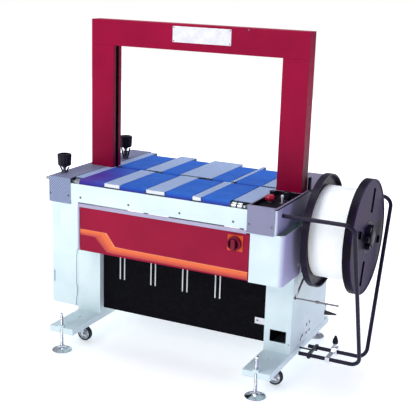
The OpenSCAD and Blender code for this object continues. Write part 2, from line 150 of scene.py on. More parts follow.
def P(x, y, z):
    """millimetres from the floor point under the middle of the arch, as in part.scad, to the row's metres"""
    return Vector(((x - 81.5) / 1000, (y - 25) / 1000, z / 1000))


# ---------------------------------------------------------------- camera
a, e, r = (math.radians(v) for v in (25.215, 14.636, 1.899))
back = Vector((math.sin(a) * math.cos(e), -math.cos(a) * math.cos(e), math.sin(e)))
right = Vector((math.cos(a), math.sin(a), 0))
up = back.cross(right)
cx, cy = math.cos(r) * right + math.sin(r) * up, math.cos(r) * up - math.sin(r) * right
cam_data = bpy.data.cameras.new("camera")
cam = bpy.data.objects.new("camera", cam_data)
bpy.context.scene.collection.objects.link(cam)
cam.matrix_world = Matrix.Translation((1.76065, -3.76234, 1.78866)) @ Matrix((cx, cy, back)).transposed().to_4x4()
cam_data.lens, cam_data.sensor_width = 78.15, 36
cam_data.clip_start, cam_data.clip_end = 0.05, 60
bpy.context.scene.camera = cam


# ---------------------------------------------------------------- materials
class Mat:
    """one procedural material, built from object coordinates in metres"""

    def __init__(self, name):
        self.m = bpy.data.materials.new(name)
        self.m.use_nodes = True
        self.t = self.m.node_tree
        self.b = self.t.nodes["Principled BSDF"]
        self.co = self.add("ShaderNodeTexCoord").outputs["Object"]
        self.h = None

    def add(self, kind, **kw):
        n = self.t.nodes.new(kind)
        for k, v in kw.items():
            setattr(n, k, v)
        return n

    def put(self, sock, v):
        if isinstance(v, bpy.types.NodeSocket):
            self.t.links.new(v, sock)
        elif hasattr(sock.default_value, "__len__") and not hasattr(v, "__len__"):
            sock.default_value = [v] * len(sock.default_value)
        else:
            sock.default_value = (*v, 1) if hasattr(v,
                "__len__") and len(v) == 3 and len(sock.default_value) == 4 else v

    def math(self, op, x, y=0.5, z=0.5, clamp=False):
        n = self.add("ShaderNodeMath", operation=op, use_clamp=clamp)
        for s, v in zip(n.inputs, (x, y, z)):
            self.put(s, v)
        return n.outputs[0]

    def scaled(self, s):
        n = self.add("ShaderNodeMapping")
        self.put(n.inputs["Vector"], self.co)
        self.put(n.inputs["Scale"], s if hasattr(s, "__len__") else (s, s, s))
        return n.outputs[0]

    def noise(self, s, detail=3, rough=0.55, lo=None, hi=None):
        n = self.add("ShaderNodeTexNoise")
        n.inputs["Scale"].default_value = 1
        n.inputs["Detail"].default_value = detail
        n.inputs["Roughness"].default_value = rough
        self.put(n.inputs["Vector"], self.scaled(s))
        return n.outputs["Fac"] if lo is None else self.ramp(n.outputs["Fac"], lo, hi)

    def ramp(self, f, lo, hi):
        n = self.add("ShaderNodeMapRange")
        n.clamp = True
        self.put(n.inputs["Value"], f)
        n.inputs["From Min"].default_value, n.inputs["From Max"].default_value = lo, hi
        return n.outputs[0]

    def axis(self, k):
        n = self.add("ShaderNodeSeparateXYZ")
        self.put(n.inputs[0], self.co)
        return n.outputs[k]

    def band(self, k, lo, hi, soft=0.0008):
        """1 where the object coordinate k lies between lo and hi (metres)"""
        v = self.axis(k)
        up_, down = self.ramp(v, lo - soft, lo + soft), self.ramp(v, hi - soft, hi + soft)
        return self.math("SUBTRACT", up_, down, clamp=True)

    def mix(self, f, c1, c2):
        n = self.add("ShaderNodeMix", data_type="RGBA")
        self.put(n.inputs["Factor"], f)
        self.put(n.inputs[6], c1)
        self.put(n.inputs[7], c2)
        return n.outputs[2]

    def mixf(self, f, v1, v2):
        n = self.add("ShaderNodeMix", data_type="FLOAT")
        self.put(n.inputs["Factor"], f)
        self.put(n.inputs[2], v1)
        self.put(n.inputs[3], v2)
        return n.outputs[0]

    def bump(self, height, dist, strength=1.0):
        n = self.add("ShaderNodeBump")
        n.inputs["Strength"].default_value = strength
        n.inputs["Distance"].default_value = dist
        self.put(n.inputs["Height"], height)
        if self.h:
            self.put(n.inputs["Normal"], self.h)
        self.h = n.outputs[0]
        self.put(self.b.inputs["Normal"], self.h)

    def set(self, **kw):
        for k, v in kw.items():
            self.put(self.b.inputs[k.replace("_", " ")], v)
        return self.m


def dark(c, f):
    return tuple(v * f for v in c)


def paint(name, col, rough=0.35, peel=1.0, coat=0.0, tint=None, grime=0.12, spec=0.5, shade_box=None, side=None):
    """sprayed coat; the shade box argument is a box in part.scad millimetres whose inside gets painted shade,
    near-black; side paints a lilac shade onto the walls that face +X
    """
    m = Mat(name)
    base = m.mix(m.noise(5, 4, lo=0.35, hi=0.7), dark(col, 0.94), tint or col)
    base = m.mix(m.math("MULTIPLY", m.noise(38, 5, lo=0.58, hi=0.8), grime), base, dark(col, 0.55))
    # painted shade: walls whose normal points to +X are mixed towards a lilac-grey, the shade beside the reel flange
    # painted into the white coat
    if side:
        n = m.add("ShaderNodeSeparateXYZ")
        m.put(n.inputs[0], m.add("ShaderNodeTexCoord").outputs["Normal"])
        base = m.mix(m.math("MULTIPLY", m.ramp(n.outputs[0], 0.3, 0.95), 0.8), base, side)
    # painted shade: inside the shade box the coat is near-black, standing in for the shade in the leg's hollow and its
    # holes; the real inside is white paint
    if shade_box:
        p0, p1 = P(*shade_box[::2]), P(*shade_box[1::2])
        f = m.math("MULTIPLY", m.math("MULTIPLY", *(m.band(k, p0[k] + 0.0006, p1[k] - 0.0006,
            0.0001) for k in (0, 1))), m.band(2, p0[2], p1[2], 0.0002))
        base = m.mix(f, base, (0.006, 0.006, 0.01))
    m.b.inputs["Specular IOR Level"].default_value = spec
    m.bump(m.noise(420, 2), 0.00025 * peel, 0.5)
    return m.set(Base_Color=base, Roughness=m.mixf(m.noise(30, 3, lo=0.3, hi=0.75), rough * 0.85, min(1,
        rough * 1.2)), Coat_Weight=coat, Coat_Roughness=0.12)


def steel(name, col, rough=0.3, grain=(3, 500, 500), metal=1.0, depth=0.00004):
    m = Mat(name)
    g = m.noise(grain, 3)
    base = m.mix(m.ramp(g, 0.3, 0.7), dark(col, 0.82), col)
    base = m.mix(m.math("MULTIPLY", m.noise(14, 4, lo=0.5, hi=0.8), 0.3), base, dark(col, 0.6))
    m.bump(g, depth, 0.6)
    return m.set(Base_Color=base, Metallic=metal, Roughness=m.mixf(m.noise(25, 3, lo=0.3, hi=0.7), rough * 0.8,
        rough * 1.25))


def plastic(name, col, rough=0.4, tint=None, texture=900, depth=0.00006, coat=0.0, spec=0.5):
    m = Mat(name)
    m.b.inputs["Specular IOR Level"].default_value = spec
    base = m.mix(m.noise(22, 4, lo=0.35, hi=0.7), dark(col, 0.85), tint or col)
    m.bump(m.noise(texture, 2), depth, 0.6)
    return m.set(Base_Color=base, Roughness=m.mixf(m.noise(60, 3, lo=0.3, hi=0.7), rough * 0.8, min(1,
        rough * 1.2)), Coat_Weight=coat, Coat_Roughness=0.08)


def hatched(name, col, dark_col, pitch=0.0125, metal=0.0, rough=0.42, second=1, other=None):
    """sheet metal rolled with a fine diamond pattern; other is the colour of the right-hand half"""
    m = Mat(name)
    x, y = m.axis(0), m.axis(second)
    hs = []
    for s in (1, -1):
        u = m.math("MULTIPLY_ADD", y, s, x)
        hs.append(m.math("ABSOLUTE", m.math("SINE", m.math("MULTIPLY", u, math.pi / pitch))))
    h = m.math("MINIMUM", hs[0], hs[1])
    line = m.ramp(h, 0.16, 0.5)
    face = m.mix(m.ramp(m.axis(0), -0.05, 0.05), col, other or col)
    base = m.mix(line, dark_col, face)
    base = m.mix(m.math("MULTIPLY", m.noise(9, 4, lo=0.4, hi=0.75), 0.3), base, dark(col, 0.75))
    m.b.inputs["Specular IOR Level"].default_value = 0.3
    m.bump(line, 0.0006, 0.9)
    return m.set(Base_Color=base, Metallic=metal, Roughness=m.mixf(line, rough * 1.4, rough))


WHITE = paint("white_coat", (0.74, 0.90, 0.92), 0.42, tint=(0.80, 0.94, 0.95), grime=0.05)
# painted shade: the right leg's inside and the walls of its holes are painted near-black
LEG_SHADED_INSIDE = paint("leg_coat_shaded_inside", (0.74, 0.90, 0.92), 0.42, tint=(0.80, 0.94, 0.95), grime=0.05, shade_box=(438, 567, -130,
    350, 118.6, 506.4))
# painted shade: white coat that turns lilac-grey on the walls facing +X
SHADED_SIDE_COAT = paint("housing_coat_side_shade", (0.72, 0.86, 0.90), 0.42, tint=(0.78, 0.91, 0.94), grime=0.05, side=(0.36, 0.30, 0.56))
CRIMSON = paint("crimson_coat", (0.31, 0.001, 0.036), 0.42, tint=(0.36, 0.002, 0.042), grime=0.12, spec=0.1)
RED = paint("red_coat", (0.31, 0.001, 0.034), 0.4, tint=(0.36, 0.002, 0.038), grime=0.0, spec=0.14)
BLACK = paint("black_coat", (0.005, 0.005, 0.008), 0.6, tint=(0.009, 0.008, 0.014), grime=0.0, spec=0.08)
TUBE = paint("tube_coat", (0.010, 0.007, 0.024), 0.36, tint=(0.016, 0.011, 0.034), grime=0.0, spec=0.2)
BRACKET = hatched("bracket_plate", (0.33, 0.40, 0.58), (0.11, 0.13, 0.24), second=2, other=(0.37, 0.34, 0.48))
TRIM = steel("trim_aluminium", (0.46, 0.42, 0.58), 0.38, metal=0.3)
PLATE = hatched("patterned_plate", (0.48, 0.62, 0.88), (0.12, 0.17, 0.36))
PLATE2 = hatched("end_plate", (0.30, 0.31, 0.46), (0.05, 0.05, 0.13), other=(0.34, 0.28, 0.38))
CHROME = steel("bright_steel", (0.75, 0.77, 0.8), 0.16, grain=(60, 60, 60), depth=0.00001)
ZINC = steel("zinc_steel", (0.58, 0.6, 0.63), 0.32, grain=(300, 40, 300))
CAST = paint("machine_grey", (0.10, 0.11, 0.14), 0.5, peel=3, tint=(0.14, 0.15, 0.18), grime=0.4)
GLOSS = plastic("black_gloss_plastic", (0.010, 0.006, 0.018), 0.34, tint=(0.018, 0.010, 0.03), spec=0.1)
MATTE = plastic("black_moulding", (0.008, 0.006, 0.013), 0.5, tint=(0.014, 0.010, 0.021), depth=0.00012, spec=0.16)
TYRE = plastic("rubber_tyre", (0.02, 0.02, 0.03), 0.7, texture=500, depth=0.0003)
HUB = plastic("hub_plastic", (0.62, 0.66, 0.72), 0.4)
REDP = plastic("red_button", (0.50, 0.006, 0.04), 0.28, tint=(0.58, 0.01, 0.05), coat=0.3)
DKRED = plastic("switch_red", (0.21, 0.002, 0.028), 0.45, tint=(0.27, 0.003, 0.036), spec=0.2)
YELLOW = plastic("switch_orange", (0.78, 0.10, 0.022), 0.45, tint=(0.88, 0.14, 0.04), spec=0.2)
SMOKE = plastic("smoked_lens", (0.01, 0.006, 0.014), 0.15, coat=0.5)
GEAR = plastic("device_plastic", (0.42, 0.43, 0.45), 0.5)
LABEL = plastic("label_plate", (0.9, 0.91, 0.93), 0.32, tint=(0.95, 0.95, 0.96))


def belt_material():
    m = Mat("blue_belt")
    nose = m.math("MAXIMUM", m.ramp(m.axis(1), -0.345, -0.362), m.math("MULTIPLY", m.ramp(m.axis(1), 0.302,
        0.312), 1.0))
    blue = m.mix(m.noise(4, 3, lo=0.3, hi=0.7), (0.006, 0.095, 0.50), (0.010, 0.13, 0.58))
    left = m.math("MULTIPLY", m.ramp(m.axis(0), -0.25, -0.46), m.ramp(m.axis(1), 0.05, -0.25))
    blue = m.mix(m.math("MULTIPLY", left, 0.85), blue, (0.075, 0.016, 0.27))
    # painted shade: below the top run, where the belt turns down round the rollers, the blue is darkened to indigo
    blue = m.mix(m.math("MULTIPLY", m.ramp(m.axis(2), 0.845, 0.832), 0.75), blue, (0.018, 0.016, 0.26))
    scuff = m.noise((260, 12, 12), 4, lo=0.62, hi=0.8)
    blue = m.mix(m.math("MULTIPLY", scuff, 0.18), blue, (0.16, 0.24, 0.62))
    rib = m.math("SINE", m.math("MULTIPLY", m.axis(1), 2 * math.pi / 0.0024))
    cloth = m.math("ADD", m.math("MULTIPLY", rib, 0.35), m.noise((800, 800, 800), 2))
    m.bump(cloth, 0.00012, 0.5)
    m.b.inputs["Specular IOR Level"].default_value = 0.25
    return m.set(Base_Color=blue, Roughness=m.mixf(m.noise(18, 3, lo=0.3, hi=0.7), 0.45, 0.6))


def coil_material():
    m = Mat("wound_strap")
    lines = m.math("SINE", m.math("MULTIPLY", m.axis(0), 2 * math.pi / 0.0031))
    n = m.noise((90, 6, 6), 4, lo=0.35, hi=0.7)
    base = m.mix(n, (0.9, 0.94, 0.95), (0.97, 0.99, 0.99))
    base = m.mix(m.math("MULTIPLY", m.ramp(m.axis(0), 0.574, 0.566), 0.6), base, (0.86, 0.82, 0.45))
    m.bump(lines, 0.00006, 0.5)
    # painted light: a faint white emission brightens the wound strap, which is no lamp
    return m.set(Base_Color=base, Roughness=0.42, Emission_Color=(1, 1, 1), Emission_Strength=0.12)


def stripe_material():
    m = Mat("panel_stripe")
    f = m.add("ShaderNodeAttribute", attribute_name="fade").outputs["Fac"]
    # painted highlight: the pale orange along the top edge stands in for light on the rounded band; further down the
    # colour darkens into the panel red
    base = m.mix(m.ramp(f, 0.0, 0.16), (0.95, 0.33, 0.13), (0.86, 0.15, 0.03))
    base = m.mix(m.ramp(f, 0.35, 0.7), base, (0.62, 0.05, 0.015))
    base = m.mix(m.ramp(f, 0.75, 1.0), base, (0.34, 0.008, 0.02))
    base = m.mix(m.math("MULTIPLY", m.noise((40, 40, 160), 3, lo=0.45, hi=0.7), 0.3), base, (0.7, 0.1, 0.02))
    m.bump(m.noise(500, 2), 0.0001, 0.5)
    return m.set(Base_Color=base, Roughness=0.35)


def split_material(name, k, lo, hi, inside, outside, rough=(0.3, 0.3), metal=(0, 0), spec=0.3):
    """two finishes on one node, told apart by where they lie along one axis"""
    m = Mat(name)
    f = m.band(k, lo, hi)
    base = m.mix(f, outside, inside)
    base = m.mix(m.math("MULTIPLY", m.noise(60, 3, lo=0.5, hi=0.8), 0.25), base, (0.02, 0.02, 0.03))
    m.b.inputs["Specular IOR Level"].default_value = spec
    m.bump(m.noise(400, 2), 0.00008, 0.5)
    return m.set(Base_Color=base, Roughness=m.mixf(f, rough[1], rough[0]), Metallic=m.mixf(f, metal[1], metal[0]))


def dancer_material():
    """black arm and weight, grey rod along the top, paler hanger between them"""
    m = Mat("dancer_finish")
    beyond = m.band(0, 0.5225, 0.8, 0.0004)
    rod = m.math("MULTIPLY", beyond, m.band(2, 0.4094, 0.43, 0.0002))
    hanger = m.math("MULTIPLY", beyond, m.band(2, 0.386, 0.4094, 0.0002))
    base = m.mix(rod, (0.008, 0.007, 0.012), (0.17, 0.16, 0.17))
    base = m.mix(hanger, base, (0.55, 0.6, 0.62))
    base = m.mix(m.math("MULTIPLY", m.noise(60, 3, lo=0.5, hi=0.8), 0.25), base, (0.02, 0.02, 0.03))
    m.bump(m.noise(400, 2), 0.00006, 0.5)
    return m.set(Base_Color=base, Roughness=0.38)


OUTER_FACE_X = (0.7618, 0.7705)  # the outer flange's outward face, metres
HUB_SHADOW_BAND_Z = (0.650, 0.722)  # height of the black band of painted shadow across its hub


def flange_material():
    """dark violet outer face with a black band of painted shadow across the hub, black rim and back"""
    m = Mat("flange_finish")
    face = m.band(0, *OUTER_FACE_X)
    # painted shadow: the black band across the hub stands in for the cage tube's shadow, and it turns with the reel
    shadow_band = m.band(2, *HUB_SHADOW_BAND_Z, 0.004)
    base = m.mix(shadow_band, (0.022, 0.007, 0.050), (0.007, 0.003, 0.014))
    base = m.mix(face, (0.005, 0.003, 0.009), base)
    base = m.mix(m.math("MULTIPLY", m.noise(60, 3, lo=0.5, hi=0.8), 0.2), base, (0.02, 0.012, 0.035))
    m.b.inputs["Specular IOR Level"].default_value = 0.06
    m.bump(m.noise(400, 2), 0.00008, 0.5)
    return m.set(Base_Color=base, Roughness=m.mixf(face, 0.4, 0.42))


BELT, COIL, STRIPE = belt_material(), coil_material(), stripe_material()
LIP = steel("lip_steel", (0.74, 0.77, 0.82), 0.3, metal=0.6)
SCREW = steel("screw_steel", (0.16, 0.17, 0.21), 0.4, grain=(200, 200, 200), metal=0.5)
LEVER = plastic("lever_white", (0.78, 0.8, 0.84), 0.3, tint=(0.88, 0.9, 0.94))
LATCH = plastic("latch_blue", (0.36, 0.5, 0.66), 0.4)
SLIT = plastic("slot_liner", (0.86, 0.9, 0.92), 0.4, tint=(0.93, 0.95, 0.96))
RIBBON = plastic("strap_ribbon", (0.74, 0.72, 0.86), 0.35, tint=(0.82, 0.80, 0.92))


# ---------------------------------------------------------------- mesh helpers
def own(ob, mat, body="machine", slot=None, hides=()):
    ob.data.materials.clear()
    ob.data.materials.append(mat)
    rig.ride(ob, body)
    if slot:
        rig.slot(ob, slot)
    if hides:
        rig.replaces(ob, *hides)
    return ob


def new(name, bm, smooth=35):
    me = bpy.data.meshes.new(name)
    bmesh.ops.recalc_face_normals(bm, faces=bm.faces)
    bm.to_mesh(me)
    bm.free()
    for p in me.polygons:
        p.use_smooth = True
    me.set_sharp_from_angle(angle=math.radians(smooth))
    ob = bpy.data.objects.new(name, me)
    bpy.context.scene.collection.objects.link(ob)
    return ob


def bevel(ob, w, seg=2, angle=40):
    b = ob.modifiers.new("bevel", "BEVEL")
    b.width, b.segments, b.limit_method, b.angle_limit = w, seg, "ANGLE", math.radians(angle)
    b.harden_normals = True
    b.use_clamp_overlap = True
    return ob


def soften(node, w=0.0012, seg=2, mat=None, angle=40):
    """a copy of a CAD node with its sheet and casting edges rounded over"""
    bm = bmesh.new()
    bm.from_mesh(NODES[node].data)
    bmesh.ops.remove_doubles(bm, verts=bm.verts, dist=2e-6)
    bmesh.ops.dissolve_limit(bm, angle_limit=math.radians(0.6), verts=bm.verts, edges=bm.edges)
    vs = [v.co.copy() for v in bm.verts]
    bm.verts.index_update()
    fs = [[v.index for v in f.verts] for f in bm.faces]
    bm.free()
    bm = bmesh.new()
    made = [bm.verts.new(v) for v in vs]
    for f in fs:
        try:
            bm.faces.new([made[i] for i in f])
        except ValueError:
            pass
    ob = new(node + "_skin", bm, angle)
    bevel(ob, w, seg, angle)
    return own(ob, mat, BODY[node], SLOT[node], (node,))


def box_into(bm, p0, p1):
    vs = [bm.verts.new((x, y, z)) for x in (p0[0], p1[0]) for y in (p0[1], p1[1]) for z in (p0[2], p1[2])]
    for f in ((0, 1, 3, 2), (4, 6, 7, 5), (0, 4, 5, 1), (2, 3, 7, 6), (0, 2, 6, 4), (1, 5, 7, 3)):
        bm.faces.new([vs[i] for i in f])


def boxes(name, spans, w=0.0008, seg=2):
    bm = bmesh.new()
    for s in spans:
        box_into(bm, P(s[0], s[2], s[4]), P(s[1], s[3], s[5]))
    return bevel(new(name, bm), w, seg)


AX = {"X": (Vector((0, 1, 0)), Vector((0, 0, 1)), Vector((1, 0, 0))), "Y": (Vector((0, 0, 1)), Vector((1, 0,
    0)), Vector((0, 1, 0))), "Z": (Vector((1, 0, 0)), Vector((0, 1, 0)), Vector((0, 0, 1)))}


def lathe_into(bm, at, axis, profile, seg=48, lobes=0, depth=0.0, turn=0.0):
    """profile is [(radius, height)] in mm along the axis; lobes wave the radius"""
    u, v, w = AX[axis]
    o = P(*at)
    rings = []
    for rad, h in profile:
        ring = []
        for i in range(seg):
            t = 2 * math.pi * i / seg
            k = 1 + depth * math.cos(lobes * t + turn) if lobes else 1
            ring.append(bm.verts.new(o + (u * math.cos(t) + v * math.sin(t)) * (rad * k / 1000) + w * (h / 1000)))
        rings.append(ring)
    for p, q in zip(rings, rings[1:]):
        for i in range(seg):
            j = (i + 1) % seg
            bm.faces.new((p[i], p[j], q[j], q[i]))
    if profile[0] != profile[-1]:
        bm.faces.new(rings[0][::-1])
        bm.faces.new(rings[-1])
    else:
        for p, q in zip(rings[0], rings[-1]):
            bmesh.ops.pointmerge(bm, verts=[p, q], merge_co=p.co)


def lathe(name, parts, seg=48, **kw):
    """several turned solids in one piece: parts are (at, axis, profile)"""
    bm = bmesh.new()
    for at, axis, profile in parts:
        lathe_into(bm, at, axis, profile, seg, **kw)
    return new(name, bm, 32)


def prism_into(bm, poly, axis, d0, d1):
    """a flat outline in the plane across the axis, in mm, pushed from d0 to d1"""
    def at(p, d):
        return P(*{"X": (d, p[0], p[1]), "Y": (p[0], d, p[1]), "Z": (p[0], p[1], d)}[axis])
    lo_, hi_ = [bm.verts.new(at(p, d0)) for p in poly], [bm.verts.new(at(p, d1)) for p in poly]
    bm.faces.new(lo_[::-1])
    bm.faces.new(hi_)
    n = len(poly)
    for i in range(n):
        j = (i + 1) % n
        bm.faces.new((lo_[i], lo_[j], hi_[j], hi_[i]))


def rounded(x0, x1, y0, y1, rad, n=6):
    out = []
    for cx_, cy_, s in ((x1 - rad, y1 - rad, 0), (x0 + rad, y1 - rad, 90), (x0 + rad, y0 + rad, 180), (x1 - rad,
        y0 + rad, 270)):
        for i in range(n + 1):
            t = math.radians(s + 90 * i / n)
            out.append((cx_ + rad * math.cos(t), cy_ + rad * math.sin(t)))
    return out


# ---------------------------------------------------------------- CAD nodes with their finish
for names, mat in (
    ("table_belts", BELT), ("head_cover slider_beds", PLATE), ("top_plates", PLATE2),
    ("roller_front_nose roller_front_mid roller_rear_mid roller_rear_nose motor_pulley press_platen cam_shaft feed_wheel reel_shaft", ZINC),
    ("belt_drive head_motor head_frame table_frame", CAST), ("drive_belt strap_track", MATTE),
    ("pool_box rear_panel", WHITE), ("control_gear", GEAR),
):
    for n in names.split():
        NODES[n].data.materials.clear()
        NODES[n].data.materials.append(mat)

for n in "leg_left leg_right aprons left_housing right_housing end_cover_right control_box control_door".split():
    soften(n, 0.0016 if n == "leg_left" else 0.0009, 2, {"leg_right": LEG_SHADED_INSIDE, "right_housing": SHADED_SIDE_COAT,
        "end_cover_right": SHADED_SIDE_COAT}.get(n, WHITE))
for n in ("arch_leg_left", "arch_leg_right", "arch_top_beam"):
    soften(n, 0.0022, 3, CRIMSON)
soften("red_panel", 0.0012, 2, RED)
soften("corner_brackets", 0.0007, 2, BRACKET)
soften("trim_rail", 0.0012, 2, TRIM)
soften("vented_panel", 0.0006, 1, split_material("vented_finish", 1, -0.14, -0.1312, (0.86, 0.88, 0.92), (0.003,
    0.003, 0.005), (0.4, 0.6), (0, 0), 0.04))
soften("operator_panel", 0.0012, 2, BLACK)
for n in ("cage_tubes", "caster_fork_left", "caster_fork_right"):
    NODES[n].data.materials.clear()
    NODES[n].data.materials.append(TUBE if n == "cage_tubes" else ZINC)
soften("cage_clamps", 0.0008, 2, split_material("clamp_finish", 0, 0.61, 0.67, (0.7, 0.72, 0.76), (0.014, 0.012,
    0.028), (0.2, 0.35), (1, 0)))
soften("clamp_knob", 0.001, 2, MATTE)
soften("dancer_arm", 0.0006, 2, dancer_material())
FLANGE = flange_material()
for n, m_ in (("reel_inner_flange", GLOSS), ("reel_outer_flange", FLANGE), ("hand_nut", MATTE)):
    soften(n, 0.0012 if "reel" in n else 0.0008, 2, m_)

# ---------------------------------------------------------------- feet and casters
def foot():
    bm = bmesh.new()
    for x in (-503, 503):
        for y in (-366, 416):
            at = (x, y, 0)
            lathe_into(bm, at, "Z", [(46.3, 0), (47.5, 1), (47.5, 4.4), (46.6, 5.4), (41, 6.2), (32, 7.6), (24,
                9.8), (19, 12.6), (17, 14)], 56)
            lathe_into(bm, at, "Z", [(13.2, 13.5), (15, 14.8), (15, 24.6), (13.2, 26)], 6)
            rows, seg, pitch, prev = 220, 16, 4.0, None
            for k in range(rows):
                z = 24 + 154 * k / (rows - 1)
                ring = []
                for i in range(seg):
                    t = 2 * math.pi * i / seg
                    ph = (z / pitch - i / seg) % 1
                    rad = 8 - 1.3 * abs(2 * ph - 1)
                    ring.append(bm.verts.new(P(x + rad * math.cos(t), y + rad * math.sin(t), z)))
                if prev:
                    for i in range(seg):
                        bm.faces.new((prev[i], prev[(i + 1) % seg], ring[(i + 1) % seg], ring[i]))
                else:
                    bm.faces.new(ring[::-1])
                prev = ring
            bm.faces.new(prev)
            lathe_into(bm, at, "Z", [(6.6, 177.5), (7.4, 178.4), (7.4, 187.8), (6.6, 189), (3.6, 189), (3.4,
                188.4), (3.4, 181)], 6)
    return own(new("levelling_foot_set", bm, 28), CHROME, "feet", "chrome", ("levelling_feet",))


foot()
TY = [(28, -10.4), (33, -11), (36.1, -9.6), (37, -6.4), (37, -1.2), (36.4, -0.6), (36.4, 0.6), (37, 1.2), (37,
    6.4), (36.1, 9.6), (33, 11), (28, 10.4), (28, -10.4)]
for side, x in (("left", -473), ("right", 533)):
    at = (x, -212, 40)
    own(lathe("caster_tyre_" + side, [(at, "Y", TY)], 64), TYRE, "wheel_" + side, "tyre", ("caster_wheel_" + side,))
    bm = bmesh.new()
    lathe_into(bm, at, "Y", [(24, -8.6), (28.2, -9.6), (28.2, 9.6), (24, 8.6), (23.4, 0), (24, -8.6)], 48)
    lathe_into(bm, at, "Y", [(4.2, -13.5), (9.6, -13.5), (11, -12.2), (11, 12.2), (9.6, 13.5), (4.2, 13.5),
        (4.2, -13.5)], 32)
    for k in range(5):
        t = 2 * math.pi * k / 5 + 0.4
        c, n_ = math.cos(t), math.sin(t)
        prism_into(bm, [(x + 10 * c - q * n_, 40 + 10 * n_ + q * c) for q in (3.6,
            -3.6)] + [(x + 24.5 * c - q * n_, 40 + 24.5 * n_ + q * c) for q in (-5, 5)], "Y", -217, -207)
    own(bevel(new("caster_hub_" + side, bm), 0.0005, 2), HUB, "wheel_" + side, "tyre")
    fx = x - 30
    bm = bmesh.new()
    for s_ in (-1, 1):
        y = -212 + s_ * 20
        prism_into(bm, [(x + 6.8 * math.cos(math.pi * k / 3),
            40 + 6.8 * math.sin(math.pi * k / 3)) for k in range(6)], "Y", min(y, y + 4 * s_), max(y, y + 4 * s_))
    lathe_into(bm, (fx, -212, 0), "Z", [(24, 77.6), (27.6, 78.8), (28.6, 81), (28.2, 83.4), (26, 84.4), (21,
        84.6), (20, 86.6), (14, 87.4)], 48)
    own(bevel(new("caster_race_" + side, bm), 0.0004, 2), CHROME, "fork_" + side, "zinc")

# ---------------------------------------------------------------- screws, knob necks and the fasteners node
bm = bmesh.new()
slots = bmesh.new()
heads = [(x, y, 765, s_) for x in (-405, -152, 104, 359) for y, s_ in ((-350, -1), (399, 1))]
heads += [(x, y, 766, s_) for x in (-568, -469, 433, 535) for y, s_ in ((-353.2, -1), (402.2, 1))]
for x, y, z, s_ in heads:
    lathe_into(bm, (x, y, z), "Y", [(5, 0), (5, 0.9 * s_), (4.5, 1.8 * s_), (3.3, 2.4 * s_), (1.6, 2.5 * s_)], 24)
    ang = rnd.uniform(0, 1.5)
    for k in (0, 1):
        c, n_ = math.cos(ang + k * math.pi / 2), math.sin(ang + k * math.pi / 2)
        prism_into(slots, [(x + u * c - v * n_, z + u * n_ + v * c) for u, v in ((-2.9, -0.45), (2.9, -0.45),
            (2.9, 0.45), (-2.9, 0.45))], "Y", min(y + 1.4 * s_, y + 2.6 * s_), max(y + 1.4 * s_, y + 2.6 * s_))
KNOBS = (("front", -556, -255, 879), ("rear", -486, 185, 906))
for _, x, y, z in KNOBS:
    lathe_into(bm, (x, y, 0), "Z", [(15, 848.05), (15, 852), (13.6, 853), (8, 853.4), (6.6, 855), (6.6, z - 10),
        (9, z - 9), (12, z - 5.5), (9, z - 2.4), (6, z - 1.6)], 32)
own(new("screw_heads", bm, 30), SCREW, "machine", "zinc", ("fasteners",))
own(new("screw_crosses", slots, 30), MATTE, "machine", "black_matte")
bm = bmesh.new()
for _, x, y, z in KNOBS:
    for s_ in (-1, 1):
        prism_into(bm, [(x + s_ * 9, 853), (x + s_ * 14, 853), (x + s_ * 27, z - 3), (x + s_ * 23, z - 3)], "Y",
            y - 4, y + 4)
    if z > 900:
        for k in range(3):
            lathe_into(bm, (x, y, 0), "Z", [(7, 864 + 9 * k), (13, 864.6 + 9 * k), (13, 867.4 + 9 * k), (7,
                868 + 9 * k), (7, 864 + 9 * k)], 32)
own(bevel(new("knob_brackets", bm), 0.0005, 2), MATTE, "machine", "black_matte")
for side, x, y, z in KNOBS:
    bm = bmesh.new()
    lathe_into(bm, (x, y, z), "Z", [(20, 0), (25, 0.6), (28.6, 3), (29.8, 8), (31.6, 44), (31.8, 52), (30.6,
        55.6), (27, 57.4), (18, 58)], 96, lobes=12, depth=0.035)
    lathe_into(bm, (x, y, z), "Z", [(17, 57.6), (17, 57.9), (16, 58), (8, 58)], 48)
    own(new("grip_knob_" + side, bm, 30), MATTE, "b_side_knob_" + side, "black_plastic", ("side_knob_" + side,))

# ---------------------------------------------------------------- front panel dress
T = [(-409.5, 615.5), (-330, 615.5), (-268.5, 615.5), (-223, 558), (-180, 556), (120, 554), (433, 552)]
B = [(-409.5, 588), (-360, 588), (-330, 587), (-268, 525), (-240, 523), (120, 520), (433, 517)]
me = bpy.data.meshes.new("panel_stripe_band")
rows, vs_, fade, fs_ = 8, [], [], []
for k in range(rows + 1):
    f = k / rows
    for (x0, z0), (x1, z1) in zip(T, B):
        vs_.append(P(x0 + (x1 - x0) * f, -345.15 - 1.6 * math.sin(math.pi * f), z0 + (z1 - z0) * f))
        fade.append(f)
n = len(T)
for k in range(rows):
    for i in range(n - 1):
        fs_.append((k * n + i, (k + 1) * n + i, (k + 1) * n + i + 1, k * n + i + 1))
me.from_pydata(vs_, [], fs_)
me.attributes.new("fade", "FLOAT", "POINT").data.foreach_set("value", fade)
ob = bpy.data.objects.new("panel_stripe_band", me)
bpy.context.scene.collection.objects.link(ob)
for p in me.polygons:
    p.use_smooth = True
own(ob, STRIPE, "machine", "red_coat")

own(boxes("plate_lips", [(x0, x1, -343.4, -342.3, 831, 846.8) for x0, x1 in ((-281, -204), (-66, 24), (162,
    201))], 0.0004), LIP, "machine", "plate_steel")
own(boxes("slot_liners", [(x + k - 2.8, x + k + 2.8, -103.8, -101, 310.4, 421.6) for x in (-327, -156, 15,
    186) for k in (-12, 12)], 0.0004), SLIT, "machine", "strap_white")

# return flange of the control box opening, and the latch in the door's slot
own(boxes("box_opening_lip", [(-575.2, -568.8, -129.8, -128.6, 140, 696)], 0.0003), WHITE, "machine", "white_coat")
own(boxes("door_latch", [(-707.6, -700.4, -132.6, -131, 245, 303)], 0.0003), LATCH, "b_control_door", "grey_plastic")

